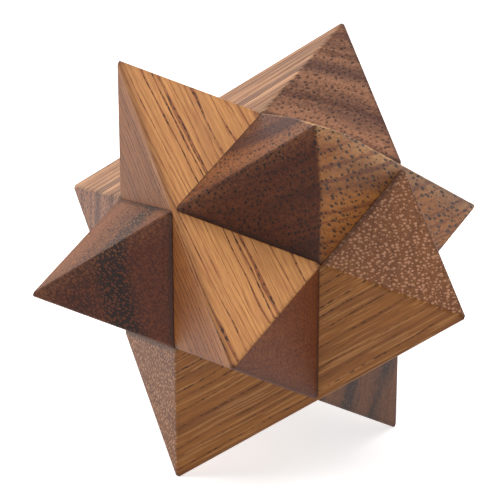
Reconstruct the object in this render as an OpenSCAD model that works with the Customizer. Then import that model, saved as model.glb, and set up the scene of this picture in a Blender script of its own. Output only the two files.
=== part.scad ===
// Six-stick star burr: a diagonal burr whose pointed sticks close into a twelve-pointed star.
// Every stick is the same: a square stick standing on edge, pointed at both ends, with two
// right-angled notches sawn across its inner edge. The sticks lie in three crossing pairs, and
// each notch seats on a long edge of a crossing stick. Two halves of three sticks slide
// together along any body diagonal of the star, and no stick can leave alone while it is closed.
// The star stands on three of its twelve tips, with the origin on the table below its centre.

/* [Sticks] */
// Side of the square stock that all six sticks are cut from
stock_side = 22.5; // [16:0.5:36]
// Length of a stick from tip to tip; full star points need 2.83 times the side of the stock
stick_length = 63.6; // [52:0.1:110]

/* [Fit] */
// Gap between each wall of a notch and the face that it seats on
notch_play = 0.2; // [0.05:0.05:0.6]

/* [Finish] */
// Width of the flat sanded along each long edge and along each edge of a point
edge_flat = 0.4; // [0.1:0.1:1.2]
// Side of the two small three-cornered flats sanded on each tip
tip_flat = 1.1; // [0.6:0.1:3]

/* [Hidden] */

golden_wood = [0.72, 0.47, 0.24];
umber_wood = [0.36, 0.21, 0.14];
walnut_wood = [0.46, 0.31, 0.22];
russet_wood = [0.33, 0.19, 0.13];
honey_wood = [0.55, 0.36, 0.19];
grey_wood = [0.42, 0.33, 0.26];

// Corner to corner across the stock, which is how far a stick's outer edge is from the centre
stock_diagonal = stock_side * sqrt(2);
// From the star's centre to the middle line of every stick
axis_offset = stock_diagonal / 2;
half_length = stick_length / 2;

// In a stick's own frame a sharp tip has x + z equal to this, and its slanting edges have
// x + 2y + z equal to it. The cuts below say how much its flats take off those sums.
tip_reach = half_length + stock_diagonal;
tip_cut = tip_flat / sqrt(2);
edge_cut = edge_flat / sqrt(2);

// The star's centre is this high when it stands on the flats of three tips
centre_height = (tip_reach - tip_cut) / sqrt(3);
// Between the upright body diagonal and each of the three directions that the sticks lie in
diagonal_tilt = acos(1 / sqrt(3));
// About the upright diagonal: brings one tip to the front, and counts the places of the sticks
front_turn = 60;
third_turn = 120;
// Long enough for a cutter to pass right through a stick
cutter_length = 4 * tip_reach;

// The stock's section, standing on a corner with its four edges eased
module stock_section() {
    intersection() {
        rotate(45)
            square(stock_side, center = true);
        square(stock_diagonal - edge_flat, center = true);
    }
}

// The two bevels at each end, which meet in an eased ridge square to the outer edge
module end_bevels() {
    linear_extrude(height = cutter_length, center = true)
        intersection() {
            rotate(45)
                square(stick_length / sqrt(2), center = true);
            square([stick_length - edge_flat, cutter_length], center = true);
        }
}

// A gabled block on z = 0: its two slopes fall away from a level ridge, `fall` for each unit
// of run. `turn` is the way that the slopes face, about Z from the length of the stick.
module gable(turn, fall, ridge_height) {
    half_span = ridge_height / fall;
    rotate([90, 0, turn])
        linear_extrude(height = cutter_length, center = true)
            polygon([[-half_span, 0], [half_span, 0], [0, ridge_height]]);
}

// What sanding leaves of the points: flats on the tips that are square to the star's body
// diagonals, and eased edges between the faces of the stock and the bevels
module sanded_points() {
    intersection_for (side = [-1, 1]) {
        intersection() {
            gable(side * atan(1), sqrt(2), tip_reach - tip_cut);
            gable(side * atan(2), sqrt(5), tip_reach - edge_cut);
        }
    }
}

// The stick before it is notched: along X, outer edge up, inner edge through the star's centre
module pointed_stick() {
    intersection() {
        translate([0, 0, axis_offset])
            rotate([90, 0, 90])
                linear_extrude(height = stick_length, center = true)
                    stock_section();
        end_bevels();
        sanded_points();
    }
}

// The room for a crossing stick: its stock, with the play on every side
module notch_cutter(side) {
    translate([side * axis_offset, 0, 0])
        rotate([90, 0, 0])
            linear_extrude(height = cutter_length, center = true)
                rotate(45)
                    square(stock_side + 2 * notch_play, center = true);
}

module notched_stick() {
    difference() {
        pointed_stick();
        for (side = [-1, 1]) {
            notch_cutter(side);
        }
    }
}

// Puts a stick in its place in the star. `place` counts thirds of a turn about the upright
// diagonal, and `lower` sends the stick through the centre to the opposite side.
module seated(place, lower = false) {
    translate([0, 0, centre_height])
        rotate([0, 0, front_turn])
            rotate([0, -diagonal_tilt, 0])
                rotate([0, 0, -45])
                    rotate(a = place * third_turn, v = [1, 1, 1])
                        rotate([lower ? 180 : 0, 0, 90])
                            children();
}

module upper_front_stick() {
    color(golden_wood)
        seated(0)
            notched_stick();
}

module upper_right_stick() {
    color(umber_wood)
        seated(1)
            notched_stick();
}

module upper_back_stick() {
    color(walnut_wood)
        seated(2)
            notched_stick();
}

module lower_back_stick() {
    color(grey_wood)
        seated(0, lower = true)
            notched_stick();
}

module lower_left_stick() {
    color(russet_wood)
        seated(1, lower = true)
            notched_stick();
}

module lower_front_stick() {
    color(honey_wood)
        seated(2, lower = true)
            notched_stick();
}

upper_front_stick();
upper_right_stick();
upper_back_stick();
lower_left_stick();
lower_front_stick();
lower_back_stick();
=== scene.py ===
import math

import bmesh
import bpy
from mathutils import Matrix, Vector


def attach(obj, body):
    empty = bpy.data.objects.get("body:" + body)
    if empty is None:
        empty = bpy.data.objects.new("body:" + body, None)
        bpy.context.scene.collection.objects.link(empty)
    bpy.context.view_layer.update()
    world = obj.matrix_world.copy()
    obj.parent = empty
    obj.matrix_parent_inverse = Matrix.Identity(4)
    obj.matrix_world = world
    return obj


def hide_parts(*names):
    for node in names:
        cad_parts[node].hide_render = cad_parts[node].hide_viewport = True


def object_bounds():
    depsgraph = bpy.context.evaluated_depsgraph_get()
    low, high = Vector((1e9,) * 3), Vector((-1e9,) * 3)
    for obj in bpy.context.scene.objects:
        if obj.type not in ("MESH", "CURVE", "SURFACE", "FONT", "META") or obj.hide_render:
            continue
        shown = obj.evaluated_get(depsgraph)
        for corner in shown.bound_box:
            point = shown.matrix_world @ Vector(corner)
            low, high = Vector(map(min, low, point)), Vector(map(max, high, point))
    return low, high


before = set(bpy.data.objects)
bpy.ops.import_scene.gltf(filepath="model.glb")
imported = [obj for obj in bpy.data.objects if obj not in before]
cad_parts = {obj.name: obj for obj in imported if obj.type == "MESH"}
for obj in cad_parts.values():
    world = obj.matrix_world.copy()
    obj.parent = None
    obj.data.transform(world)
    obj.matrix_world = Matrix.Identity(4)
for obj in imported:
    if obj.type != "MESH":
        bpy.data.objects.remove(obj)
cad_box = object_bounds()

# ---------------------------------------------------------------------------------------------
# Upper front stick
# The lightest of the six: a square stick of plain-sawn monkeypod from the pale edge of the
# board, pointed on the saw, notched twice on its inner edge, sanded by hand and oiled. Only
# the sticks that cross in its notches hold it in the star.
# ---------------------------------------------------------------------------------------------

MM = 0.001
STOCK = 22.5 * MM
DIAGONAL = STOCK * math.sqrt(2)
HALF_LENGTH = 31.8 * MM
# The play that a notch shows when the star is pressed shut
NOTCH_PLAY = 0.07 * MM
# Sandpaper rounds each outer edge to this radius, then wears a little of it flat
EASED = 0.35 * MM
WORN_FLAT = 0.6 * EASED
# How much of each point's inner heel is knocked off
HEEL = 1.1 * MM
star_centre = (cad_box[0] + cad_box[1]) / 2


def place_of(turn, lower):
    """Where a stick sits: thirds of a turn about the upright diagonal, upper or lower."""
    tilt = math.acos(1 / math.sqrt(3))
    return (
        Matrix.Translation(star_centre)
        @ Matrix.Rotation(math.radians(60), 4, "Z")
        @ Matrix.Rotation(-tilt, 4, "Y")
        @ Matrix.Rotation(math.radians(-45), 4, "Z")
        @ Matrix.Rotation(math.radians(120 * turn), 4, Vector((1, 1, 1)))
        @ Matrix.Rotation(math.radians(90), 4, "Z")
        @ Matrix.Rotation(math.radians(180 if lower else 0), 4, "X")
    )


def cut_stick(name, turn, lower, rubbed=0.0, rubbed_length=1.0):
    """A finished stick. `rubbed` is how far its tip at +X was sanded down, over some length.

    Along its own axes a stick lies on X with its outer edge up and its inner edge at z = 0.
    """
    blank = bmesh.new()
    bmesh.ops.create_cube(blank, size=3 * DIAGONAL)

    def saw(point, normal, wood=blank):
        """Cuts off the wood on the side that `normal` points to, and closes the cut."""
        cut = bmesh.ops.bisect_plane(
            wood, geom=wood.verts[:] + wood.edges[:] + wood.faces[:], dist=1e-7,
            plane_co=point, plane_no=normal, clear_outer=True)
        edges = [e for e in cut["geom_cut"] if isinstance(e, bmesh.types.BMEdge)]
        bmesh.ops.contextual_create(wood, geom=edges)

    # Square stock set on edge, with each end sawn to a point by two cuts
    for side in (-1, 1):
        saw((0, 0, DIAGONAL), (0, side, 1))
        saw((0, 0, 0), (0, side, -1))
        for end in (-1, 1):
            saw((end * HALF_LENGTH, 0, 0), (end, side, 0))
    # The heel of each point is knocked off, and a tip may be sanded lower than the others
    for end in (-1, 1):
        saw((end * (HALF_LENGTH - HEEL), 0, 0), (end, 0, -1))
    if rubbed > 0:
        for side in (-1, 1):
            saw((DIAGONAL - rubbed_length, 0, DIAGONAL), (rubbed / rubbed_length, side, 1))

    # Sandpaper eases every edge but the inner one, and the tips end in flats that are square
    # to a body diagonal, where the star can stand
    outer = [e for e in blank.edges if max(v.co.z for v in e.verts) > 0.1 * MM]
    bmesh.ops.bevel(
        blank, geom=outer, offset=EASED, offset_type="OFFSET", segments=3,
        profile=0.5, affect="EDGES", clamp_overlap=False)
    saw((0, 0, DIAGONAL - WORN_FLAT), (0, 0, 1))
    for end in (-1, 1):
        saw((end * (HALF_LENGTH - WORN_FLAT), 0, 0), (end, 0, 0))
        for side in (-1, 1):
            saw((0, 0, star_centre.z * math.sqrt(3)), (end, side, 1))

    # Two notches in the inner edge, a little wider than the sticks that cross there. They make
    # four slanting cuts, which start at the stick's middle or a whole diagonal out from it and
    # meet at half a diagonal. So the stick is taken in four lengths and joined up again.
    stick = bmesh.new()
    mesh = bpy.data.meshes.new(name)
    play = NOTCH_PLAY * math.sqrt(2)
    middle_of_notch = DIAGONAL / 2
    for start in (0, DIAGONAL):
        for end in (-1, 1):
            length = blank.copy()
            inward = end if start == 0 else -end
            saw((end * start, 0, play), (inward, 0, -1), length)
            saw((end * middle_of_notch, 0, 0), (inward, 0, 0), length)
            if start == 0:
                saw((0, 0, 0), (-end, 0, 0), length)
            for joint in (0, end * middle_of_notch):
                walls = [
                    f for f in length.faces
                    if all(abs(v.co.x - joint) < 1e-6 for v in f.verts)]
                bmesh.ops.delete(length, geom=walls, context="FACES_ONLY")
            length.to_mesh(mesh)
            length.free()
            stick.from_mesh(mesh)
    blank.free()
    bmesh.ops.remove_doubles(stick, verts=stick.verts, dist=2e-6)
    bmesh.ops.recalc_face_normals(stick, faces=stick.faces)
    stick.transform(place_of(turn, lower))
    stick.to_mesh(mesh)
    stick.free()
    piece = bpy.data.objects.new(name, mesh)
    bpy.context.collection.objects.link(piece)
    return piece


def linear(hex_colour):
    """An sRGB hex colour as the linear RGBA that shaders take."""
    channels = [int(hex_colour[i:i + 2], 16) / 255 for i in (1, 3, 5)]
    return [c / 12.92 if c <= 0.04045 else ((c + 0.055) / 1.055) ** 2.4 for c in channels] + [1.0]


def add_node(tree, kind, links=None, **settings):
    """One shader node: `settings` are its properties, `links` its inputs' values or sources."""
    node = tree.nodes.new(kind)
    for key, value in settings.items():
        setattr(node, key, value)
    for key, value in (links or {}).items():
        if isinstance(value, bpy.types.NodeSocket):
            tree.links.new(value, node.inputs[key])
        else:
            node.inputs[key].default_value = value
    return node


def oiled_wood(
        name, turn, lower, light, dark, band, pore, end_tint, pith, lean,
        ring_gap, ring_contrast, line_gap, line_amount, fibre_amount, band_gap, band_amount,
        pore_gap, pore_width, pore_amount, dash, seed, row_amount=0.0, heart=(0.0, 1.0, 0.0),
        fleck="#FFFFFF", fleck_width=0.4, fleck_amount=0.0, side_shade_tint="#FFFFFF", shaded_side=1):
    """Coarse tropical hardwood, sawn, sanded and oiled, solid through the stick.

    Lengths are millimetres in the stick's own axes. The grain runs along X, but leans `lean`
    degrees each way, and the rings centre on `pith`. A gap is how far apart rings, fine lines,
    dark bands or pores lie, and an amount is how strongly they show. `dash` is how broken up
    the pores are, and `row_amount` shows more of them in rows. `heart` is the radius, half
    width and depth of one dark ring. `side_shade_tint` darkens the half of the stick on the
    `shaded_side` of Y: partly the wood's own tone, partly painted shade for how that side is
    lit. `end_tint` is for end grain, which drinks more oil.
    """
    material = bpy.data.materials.new(name)
    material.use_nodes = True
    tree = material.node_tree
    tree.nodes.clear()
    # From the star's axes to the stick's own, in millimetres
    coords = add_node(tree, "ShaderNodeTexCoord")
    to_stick = place_of(turn, lower).inverted()
    own = add_node(tree, "ShaderNodeMapping", {
        "Vector": coords.outputs["Object"], "Scale": (1 / MM,) * 3,
        "Rotation": to_stick.to_euler(), "Location": to_stick.translation / MM})
    facing = add_node(tree, "ShaderNodeMapping", {
        "Vector": coords.outputs["Normal"], "Rotation": to_stick.to_euler()},
        vector_type="NORMAL")
    # Each stick comes from another part of the tree, so its seed moves it through the patterns
    leaning = add_node(tree, "ShaderNodeMapping", {
        "Vector": own.outputs[0], "Location": (seed * 137, seed * 11, seed * 17),
        "Rotation": (0, math.radians(lean), math.radians(-lean))})

    # Vessels and fibres wander as they run along the stick, broadly and then more finely. Each
    # stretch is waves in a millimetre, along and across, and each shift is millimetres.
    grain = leaning.outputs[0]
    for stretch, shift in (
            ((0.02, 0.03, 0.03), 2.2), ((0.08, 0.3, 0.3), 0.5), ((0.12, 1.3, 1.3), 0.4)):
        slow = add_node(tree, "ShaderNodeMapping", {"Vector": leaning.outputs[0], "Scale": stretch})
        wander = add_node(tree, "ShaderNodeTexNoise", {
            "Vector": slow.outputs[0], "Scale": 1.0, "Detail": 1.0, "Roughness": 0.4})
        centred = add_node(tree, "ShaderNodeVectorMath", {
            0: wander.outputs["Color"], 1: (0.5, 0.5, 0.5)}, operation="SUBTRACT")
        moved = add_node(tree, "ShaderNodeVectorMath", {
            0: centred.outputs[0], 1: (0.0, shift, shift), 2: grain}, operation="MULTIPLY_ADD")
        grain = moved.outputs[0]

    # Growth rings follow the distance from the pith, as broad tones and as fine lines
    from_pith = add_node(tree, "ShaderNodeVectorMath", {
        0: grain, 1: (0.0, pith[0] + seed * 11, pith[1] + seed * 17)}, operation="SUBTRACT")
    flat = add_node(tree, "ShaderNodeVectorMath", {
        0: from_pith.outputs[0], 1: (0.0, 1.0, 1.0)}, operation="MULTIPLY")
    radius = add_node(tree, "ShaderNodeVectorMath", {0: flat.outputs[0]}, operation="LENGTH")
    rings, fine_rings = [
        add_node(tree, "ShaderNodeTexNoise", {
            "W": radius.outputs["Value"], "Scale": 1.0 / gap, "Detail": 3.0, "Roughness": 0.6},
            noise_dimensions="1D")
        for gap in (ring_gap, line_gap)]
    lines = add_node(tree, "ShaderNodeMapRange", {
        "Value": fine_rings.outputs[0], "From Min": 0.52, "From Max": 0.64},
        interpolation_type="SMOOTHSTEP")
    # Fibres: fine streaks, drawn 0.3 mm wide where real ones are a tenth of that
    drawn_out = add_node(tree, "ShaderNodeMapping", {"Vector": grain, "Scale": (0.05, 1.0, 1.0)})
    fibres = add_node(tree, "ShaderNodeTexNoise", {
        "Vector": drawn_out.outputs[0], "Scale": 2.6, "Detail": 3.0, "Roughness": 0.75})
    # Dark heartwood bands follow the rings too, but come and go along them
    band_place = add_node(tree, "ShaderNodeMapping", {
        "Vector": grain, "Scale": (0.12 / band_gap, 0.3 / band_gap, 0.3 / band_gap)})
    band_spread = add_node(tree, "ShaderNodeVectorMath", {
        0: radius.outputs["Value"], 1: (1.0 / band_gap, 0.0, 0.0), 2: band_place.outputs[0]},
        operation="MULTIPLY_ADD")
    bands = add_node(tree, "ShaderNodeTexNoise", {
        "Vector": band_spread.outputs[0], "Scale": 1.0, "Detail": 4.0, "Roughness": 0.55})
    # One ring of the heart may be dark all the way round
    from_heart = add_node(tree, "ShaderNodeMath", {
        0: radius.outputs["Value"], 1: heart[0]}, operation="SUBTRACT")
    heart_depth = add_node(tree, "ShaderNodeMath", {0: from_heart.outputs[0]}, operation="ABSOLUTE")
    heart_ring = add_node(tree, "ShaderNodeMapRange", {
        "Value": heart_depth.outputs[0], "From Min": heart[1] * 0.4, "From Max": heart[1] * 1.3,
        "To Min": heart[2], "To Max": 0.0}, interpolation_type="SMOOTHSTEP")

    # Vessels: long tubes of uneven size, cut to dots on end grain and to dashes along the stick.
    # Real ones are 0.2 to 0.3 mm wide, and on the coarser sticks they are drawn wider, to show.
    across = add_node(tree, "ShaderNodeSeparateXYZ", {0: grain})
    section = add_node(tree, "ShaderNodeCombineXYZ", {
        "X": across.outputs["Y"], "Y": across.outputs["Z"]})
    vessels = add_node(tree, "ShaderNodeTexVoronoi", {
        "Vector": section.outputs[0], "Scale": 1.0 / pore_gap, "Randomness": 1.0},
        voronoi_dimensions="2D")
    vessel_size = add_node(tree, "ShaderNodeMapRange", {
        "Value": vessels.outputs["Color"], "From Min": 0.25, "From Max": 0.75,
        "To Min": 0.5, "To Max": 1.3})
    from_vessel = add_node(tree, "ShaderNodeMath", {
        0: vessels.outputs["Distance"], 1: vessel_size.outputs[0]}, operation="DIVIDE")
    pore_rim = pore_width / 2 / pore_gap
    holes = add_node(tree, "ShaderNodeMapRange", {
        "Value": from_vessel.outputs[0], "From Min": pore_rim * 0.6, "From Max": pore_rim * 1.3,
        "To Min": pore_amount, "To Max": 0.0}, interpolation_type="SMOOTHSTEP")
    # Some stretches of each vessel are plugged, which leaves dashes
    broken_place = add_node(tree, "ShaderNodeMapping", {"Vector": grain, "Scale": (0.8, 1.6, 1.6)})
    broken = add_node(tree, "ShaderNodeTexNoise", {
        "Vector": broken_place.outputs[0], "Scale": 1.0, "Detail": 1.0})
    open_part = add_node(tree, "ShaderNodeMapRange", {
        "Value": broken.outputs[0], "From Min": 0.4 + 0.1 * dash, "From Max": 0.48 + 0.12 * dash,
        "To Min": 1.0 - dash, "To Max": 1.0})
    scattered = add_node(tree, "ShaderNodeMath", {
        0: holes.outputs[0], 1: open_part.outputs[0]}, operation="MULTIPLY")

    # How far a face looks along the grain: 0 on the sides, 1 on the pointed ends
    along = add_node(tree, "ShaderNodeSeparateXYZ", {0: facing.outputs[0]})
    squared = add_node(tree, "ShaderNodeMath", {
        0: along.outputs["X"], 1: along.outputs["X"]}, operation="MULTIPLY")
    ends = add_node(tree, "ShaderNodeMapRange", {
        "Value": squared.outputs[0], "From Min": 0.1, "From Max": 0.45})

    # Other vessels sit in rows along the fine lines, and scarcely show on the ends
    core = add_node(tree, "ShaderNodeMapRange", {
        "Value": fine_rings.outputs[0], "From Min": 0.58, "From Max": 0.64,
        "To Min": 0.0, "To Max": row_amount}, interpolation_type="SMOOTHSTEP")
    row_place = add_node(tree, "ShaderNodeMapping", {"Vector": grain, "Scale": (0.9, 2.2, 2.2)})
    row_breaks = add_node(tree, "ShaderNodeTexNoise", {
        "Vector": row_place.outputs[0], "Scale": 1.0, "Detail": 1.0})
    row_open = add_node(tree, "ShaderNodeMapRange", {
        "Value": row_breaks.outputs[0], "From Min": 0.5, "From Max": 0.58})
    row_fade = add_node(tree, "ShaderNodeMapRange", {
        "Value": ends.outputs[0], "To Min": 1.0, "To Max": 0.1})
    row_depth = add_node(tree, "ShaderNodeMath", {
        0: core.outputs[0], 1: row_fade.outputs[0]}, operation="MULTIPLY")
    rows = add_node(tree, "ShaderNodeMath", {
        0: row_depth.outputs[0], 1: row_open.outputs[0]}, operation="MULTIPLY")
    pores = add_node(tree, "ShaderNodeMath", {
        0: scattered.outputs[0], 1: rows.outputs[0]}, operation="MAXIMUM")

    # The ground colour, from light to dark with the rings, the lines and the fibres. A Mix
    # node takes its two colours in inputs 6 and 7, and gives the mixed one in output 2.
    tone = add_node(tree, "ShaderNodeMapRange", {
        "Value": rings.outputs[0], "From Min": 0.3, "From Max": 0.7,
        "To Min": 0.5 - ring_contrast / 2, "To Max": 0.5 + ring_contrast / 2})
    line_fade = add_node(tree, "ShaderNodeMapRange", {
        "Value": ends.outputs[0], "To Min": line_amount, "To Max": line_amount * 0.3})
    lined = add_node(tree, "ShaderNodeMath", {
        0: lines.outputs[0], 1: line_fade.outputs[0], 2: tone.outputs[0]},
        operation="MULTIPLY_ADD")
    fibre_rise = add_node(tree, "ShaderNodeMapRange", {
        "Value": ends.outputs[0], "To Min": fibre_amount, "To Max": fibre_amount * 2})
    ribbed = add_node(tree, "ShaderNodeMapRange", {
        "Value": fibres.outputs[0], "From Min": 0.25, "From Max": 0.75,
        "To Min": -0.5, "To Max": 0.5})
    shade = add_node(tree, "ShaderNodeMath", {
        0: ribbed.outputs[0], 1: fibre_rise.outputs[0], 2: lined.outputs[0]},
        operation="MULTIPLY_ADD", use_clamp=True)
    ground = add_node(tree, "ShaderNodeMix", {
        "Factor": shade.outputs[0], 6: linear(light), 7: linear(dark)}, data_type="RGBA")
    band_mask = add_node(tree, "ShaderNodeMapRange", {
        "Value": bands.outputs[0], "From Min": 0.48, "From Max": 0.62,
        "To Min": 0.0, "To Max": band_amount}, interpolation_type="SMOOTHSTEP")
    all_bands = add_node(tree, "ShaderNodeMath", {
        0: band_mask.outputs[0], 1: heart_ring.outputs[0]}, operation="MAXIMUM")
    banded = add_node(tree, "ShaderNodeMix", {
        "Factor": all_bands.outputs[0], 6: ground.outputs[2], 7: linear(band)}, data_type="RGBA")
    # Pale tissue lies round the vessels, and shows best on end grain
    fleck_rim = fleck_width / 2 / pore_gap
    halo = add_node(tree, "ShaderNodeMapRange", {
        "Value": from_vessel.outputs[0], "From Min": fleck_rim * 0.5, "From Max": fleck_rim * 1.3,
        "To Min": fleck_amount, "To Max": 0.0}, interpolation_type="SMOOTHSTEP")
    fleck_rise = add_node(tree, "ShaderNodeMapRange", {
        "Value": ends.outputs[0], "To Min": 0.3, "To Max": 1.0})
    haloed = add_node(tree, "ShaderNodeMath", {
        0: halo.outputs[0], 1: fleck_rise.outputs[0]}, operation="MULTIPLY")
    flecked = add_node(tree, "ShaderNodeMix", {
        "Factor": haloed.outputs[0], 6: banded.outputs[2], 7: linear(fleck)}, data_type="RGBA")

    # One side of the stick is multiplied by a darker tint: partly the wood's own tone, partly
    # painted shade for how that side is lit
    halves = add_node(tree, "ShaderNodeSeparateXYZ", {0: own.outputs[0]})
    shaded_half = add_node(tree, "ShaderNodeMapRange", {
        "Value": halves.outputs["Y"], "From Min": -2.5 * shaded_side,
        "From Max": 3.0 * shaded_side}, interpolation_type="SMOOTHSTEP")
    side_shaded = add_node(tree, "ShaderNodeMix", {
        "Factor": shaded_half.outputs[0], 6: flecked.outputs[2], 7: linear(side_shade_tint)},
        data_type="RGBA", blend_type="MULTIPLY")
    # The faces that look along the stick are end grain, darker and redder with oil
    soaked = add_node(tree, "ShaderNodeMix", {
        "Factor": ends.outputs[0], 6: side_shaded.outputs[2], 7: linear(end_tint)},
        data_type="RGBA", blend_type="MULTIPLY")
    bored = add_node(tree, "ShaderNodeMix", {
        "Factor": pores.outputs[0], 6: soaked.outputs[2], 7: linear(pore)}, data_type="RGBA")
    # Painted shade: the colour darkens within a millimetre of every edge, where occlusion inside
    # the stick finds another face near, so the seams between sticks look shadowed
    near_edge = add_node(
        tree, "ShaderNodeAmbientOcclusion", {"Distance": 1.0 * MM},
        samples=8, inside=True, only_local=True)
    painted_edge_shade = add_node(tree, "ShaderNodeMapRange", {
        "Value": near_edge.outputs["AO"], "From Min": 0.6, "From Max": 0.98,
        "To Min": 0.55, "To Max": 0.0})
    edge_shaded = add_node(tree, "ShaderNodeMix", {
        "Factor": painted_edge_shade.outputs[0], 6: bored.outputs[2], 7: linear(pore)}, data_type="RGBA")

    # Open pores are shallow pits, and the fibres leave a faint ribbing under the oil. Dried oil
    # has an IOR of 1.48, and is a soft satin: dull where it has sunk in, glossier between.
    pit = add_node(tree, "ShaderNodeBump", {
        "Height": pores.outputs[0], "Distance": 0.08 * MM, "Strength": 0.7}, invert=True)
    rib = add_node(tree, "ShaderNodeBump", {
        "Height": fibres.outputs[0], "Normal": pit.outputs[0], "Distance": 0.05 * MM,
        "Strength": 0.6})
    sheen = add_node(tree, "ShaderNodeMapRange", {
        "Value": fibres.outputs[0], "From Min": 0.2, "From Max": 0.8,
        "To Min": 0.45, "To Max": 0.62})
    shader = add_node(tree, "ShaderNodeBsdfPrincipled", {
        "Base Color": edge_shaded.outputs[2], "Roughness": sheen.outputs[0], "Normal": rib.outputs[0],
        "IOR": 1.48, "Specular IOR Level": 0.25})
    add_node(tree, "ShaderNodeOutputMaterial", {"Surface": shader.outputs[0]})
    return material


def finish_stick(piece, material, node):
    """Oils a stick, seats it on its own body and lets it stand for its CAD node."""
    piece.data.materials.append(material)
    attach(piece, node)
    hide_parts(node)


# Sapwood under oil is golden, with short dark pore dashes in rows and a reddish end grain
finish_stick(
    cut_stick("golden_stick", turn=0, lower=False),
    oiled_wood(
        "oiled_monkeypod_sapwood", turn=0, lower=False,
        light="#E3A460", dark="#8D5230", band="#8C5B3F", pore="#2A130B",
        end_tint="#85602F", side_shade_tint="#B29B7A", pith=(-70, 41), lean=4.2,
        ring_gap=6.0, ring_contrast=0.2, line_gap=0.45, line_amount=0.5, fibre_amount=0.62,
        band_gap=8.0, band_amount=0.25, pore_gap=0.7, pore_width=0.2, pore_amount=0.15,
        row_amount=0.85, dash=0.85, seed=1.0),
    "upper_front_stick")

# ---------------------------------------------------------------------------------------------
# Upper right stick
# The same square stick in dark heartwood from near the middle of the tree, held by the sticks
# that cross it. Its upper tip was sanded lower than the others.
# ---------------------------------------------------------------------------------------------

# Dark heartwood under oil is umber, with a purple-brown band and large open pores
finish_stick(
    cut_stick("umber_stick", turn=1, lower=False, rubbed=1.4 * MM, rubbed_length=8 * MM),
    oiled_wood(
        "oiled_monkeypod_dark_heartwood", turn=1, lower=False,
        light="#EBBC7E", dark="#A36F49", band="#5E3F46", pore="#22130E", fleck="#F0BF84",
        end_tint="#997B70", side_shade_tint="#AE8C5D", pith=(-60, 16), lean=15.0,
        ring_gap=7.0, ring_contrast=0.6, line_gap=1.1, line_amount=0.75, fibre_amount=0.8,
        band_gap=9.0, band_amount=0.45, heart=(45.5, 2.2, 0.75),
        pore_gap=0.85, pore_width=0.42, pore_amount=0.95, dash=0.25,
        fleck_width=0.5, fleck_amount=0.1, seed=2.0),
    "upper_right_stick")

# ---------------------------------------------------------------------------------------------
# Upper back stick
# The same square stick in streaky heartwood. It crosses behind the other two upper sticks,
# and its high tip is the top of the star.
# ---------------------------------------------------------------------------------------------

# Streaked heartwood under oil has pale and brown lines on its sides, purple bands on its ends
finish_stick(
    cut_stick("walnut_stick", turn=2, lower=False),
    oiled_wood(
        "oiled_monkeypod_streaked_heartwood", turn=2, lower=False,
        light="#CF9D73", dark="#774D34", band="#462F35", pore="#1E0E0B", fleck="#CB9A70",
        end_tint="#C1B1B2", pith=(-42, -26), lean=1.0,
        ring_gap=3.5, ring_contrast=0.8, line_gap=0.7, line_amount=0.5, fibre_amount=0.6,
        band_gap=8.0, band_amount=0.38, heart=(60.2, 1.9, 0.4),
        pore_gap=0.85, pore_width=0.38, pore_amount=0.75, dash=0.25,
        fleck_width=0.5, fleck_amount=0.1, seed=3.0),
    "upper_back_stick")

# ---------------------------------------------------------------------------------------------
# Lower left stick
# The same square stick in the darkest wood, from the heart of the log. One of its tips is a
# foot of the star, and the other points out to the left.
# ---------------------------------------------------------------------------------------------

# Russet heartwood under oil is red-brown, with a near-black band and a fine pale fleck
finish_stick(
    cut_stick("russet_stick", turn=1, lower=True),
    oiled_wood(
        "oiled_monkeypod_russet_heartwood", turn=1, lower=True,
        light="#AF7C5A", dark="#734832", band="#32292E", pore="#26140E", fleck="#C89460",
        end_tint="#BFA690", side_shade_tint="#B7907C", shaded_side=-1, pith=(-42, -26),
        lean=3.0, ring_gap=8.0, ring_contrast=0.6, line_gap=1.2, line_amount=0.35,
        fibre_amount=0.9, band_gap=12.0, band_amount=0.35, heart=(55.3, 3.2, 0.9),
        pore_gap=0.5, pore_width=0.15, pore_amount=0.4, dash=0.4,
        fleck_width=0.32, fleck_amount=0.9, seed=4.0),
    "lower_left_stick")

# ---------------------------------------------------------------------------------------------
# Lower front stick
# The same square stick in honey-brown wood, straight in the grain. It carries the star's front
# foot, and its other tip points low to the right.
# ---------------------------------------------------------------------------------------------

# Honey heartwood under oil has fine straight dashes, and pale flecks round its end pores
finish_stick(
    cut_stick("honey_stick", turn=2, lower=True),
    oiled_wood(
        "oiled_monkeypod_honey_heartwood", turn=2, lower=True,
        light="#9E6429", dark="#6F4018", band="#5B2E18", pore="#341707", fleck="#E0A868",
        end_tint="#D6D2FF", pith=(-60, 40), lean=1.5,
        ring_gap=7.0, ring_contrast=0.4, line_gap=0.6, line_amount=0.4, fibre_amount=0.75,
        band_gap=9.0, band_amount=0.25, pore_gap=0.62, pore_width=0.2, pore_amount=0.15,
        row_amount=0.85, dash=0.75, fleck_width=0.36, fleck_amount=0.75, seed=5.0),
    "lower_front_stick")

# ---------------------------------------------------------------------------------------------
# Lower back stick
# The same square stick in greyish-brown wood. One of its tips is the star's right foot, and
# the other is hidden behind the star.
# ---------------------------------------------------------------------------------------------

# Grey heartwood under oil stays cool and dull, with near-black streaks along the grain
finish_stick(
    cut_stick("grey_stick", turn=0, lower=True),
    oiled_wood(
        "oiled_monkeypod_grey_heartwood", turn=0, lower=True,
        light="#895F3B", dark="#5E3922", band="#2C1C1A", pore="#1E0D06", fleck="#A06D46",
        end_tint="#C8B4A8", pith=(30, 60), lean=2.0,
        ring_gap=5.0, ring_contrast=0.6, line_gap=1.0, line_amount=0.4, fibre_amount=0.6,
        band_gap=7.0, band_amount=0.9, pore_gap=0.6, pore_width=0.25, pore_amount=0.5,
        dash=0.5, fleck_width=0.3, fleck_amount=0.6, seed=6.0),
    "lower_back_stick")

# ---------------------------------------------------------------------------------------------
# Table, light and camera
# A white acrylic table lit from beneath stands in a pale room that is dim in front. A large
# softbox hangs overhead and one stands at each side, so the faces that look to the front are
# the darkest.
# ---------------------------------------------------------------------------------------------

TABLE_HALF_SIDE = 6.0

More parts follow.
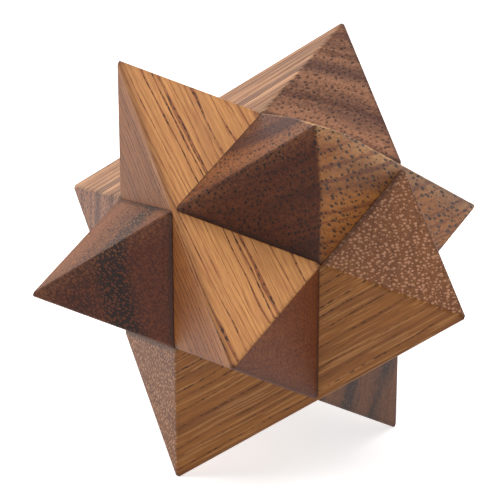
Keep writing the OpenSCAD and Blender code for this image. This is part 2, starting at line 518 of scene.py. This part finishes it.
table_mesh = bpy.data.meshes.new("table")
table_top = bmesh.new()
bmesh.ops.create_grid(table_top, x_segments=1, y_segments=1, size=TABLE_HALF_SIDE)
table_top.to_mesh(table_mesh)
table_top.free()
table = bpy.data.objects.new("table", table_mesh)
bpy.context.collection.objects.link(table)
# Matt translucent acrylic glows evenly, which keeps the star's shadow faint
acrylic = bpy.data.materials.new("backlit_white_acrylic")
acrylic.use_nodes = True
acrylic_shader = acrylic.node_tree.nodes["Principled BSDF"]
acrylic_shader.inputs["Base Color"].default_value = (0.7, 0.7, 0.7, 1)
acrylic_shader.inputs["Roughness"].default_value = 0.9
acrylic_shader.inputs["Specular IOR Level"].default_value = 0.1
acrylic_shader.inputs["Emission Color"].default_value = (1, 1, 1, 1)
acrylic_shader.inputs["Emission Strength"].default_value = 0.71
table.data.materials.append(acrylic)

# The room's far wall is bright, and its near wall is dim
room = bpy.data.worlds.new("white_room")
bpy.context.scene.world = room
room.use_nodes = True
walls = room.node_tree
heading = add_node(walls, "ShaderNodeTexCoord")
heading_parts = add_node(walls, "ShaderNodeSeparateXYZ", {0: heading.outputs["Generated"]})
brightness = add_node(walls, "ShaderNodeMapRange", {
    "Value": heading_parts.outputs["Y"], "From Min": -0.3, "From Max": 0.6,
    "To Min": 0.075, "To Max": 0.9})
glow = walls.nodes["Background"]
glow.inputs["Color"].default_value = (1, 1, 1, 1)
walls.links.new(brightness.outputs[0], glow.inputs["Strength"])


def softbox(name, direction, size, watts):
    """A square soft light that faces the star's centre from 0.9 m away."""
    lamp = bpy.data.lights.new(name, "AREA")
    lamp.energy = watts
    lamp.size = size
    box = bpy.data.objects.new(name, lamp)
    bpy.context.collection.objects.link(box)
    away = Vector(direction).normalized()
    box.location = star_centre + away * 0.9
    box.rotation_mode = "QUATERNION"
    box.rotation_quaternion = away.to_track_quat("Z", "Y")


softbox("overhead_softbox", (0.0, 0.0, 1.0), size=0.9, watts=7.5)
softbox("left_softbox", (-1.0, 0.1, 0.8), size=0.8, watts=4.5)
softbox("right_softbox", (1.0, 0.0, 0.5), size=0.8, watts=1.5)

# The camera looks a little down on the star with a long lens, from a little right of its front.
# It aims a little to the left of the star's centre and a touch below it.
CAMERA_DISTANCE = 15.62 * DIAGONAL
CAMERA_AZIMUTH = math.radians(6.116)
CAMERA_ELEVATION = math.radians(27.217)
AIM_LEFT = 0.0609 * DIAGONAL
AIM_DOWN = 0.0065 * DIAGONAL

back = Vector((
    math.sin(CAMERA_AZIMUTH) * math.cos(CAMERA_ELEVATION),
    -math.cos(CAMERA_AZIMUTH) * math.cos(CAMERA_ELEVATION),
    math.sin(CAMERA_ELEVATION)))
sideways = Vector((math.cos(CAMERA_AZIMUTH), math.sin(CAMERA_AZIMUTH), 0))
aim = star_centre - sideways * AIM_LEFT - Vector((0, 0, AIM_DOWN))
lens = bpy.data.cameras.new("camera")
lens.sensor_width = 36.0
lens.lens = 194.05
camera = bpy.data.objects.new("camera", lens)
bpy.context.collection.objects.link(camera)
camera.location = star_centre + back * CAMERA_DISTANCE
camera.rotation_mode = "QUATERNION"
camera.rotation_quaternion = (camera.location - aim).to_track_quat("Z", "Y")
bpy.context.scene.camera = camera
bpy.context.scene.view_settings.view_transform = "Standard"
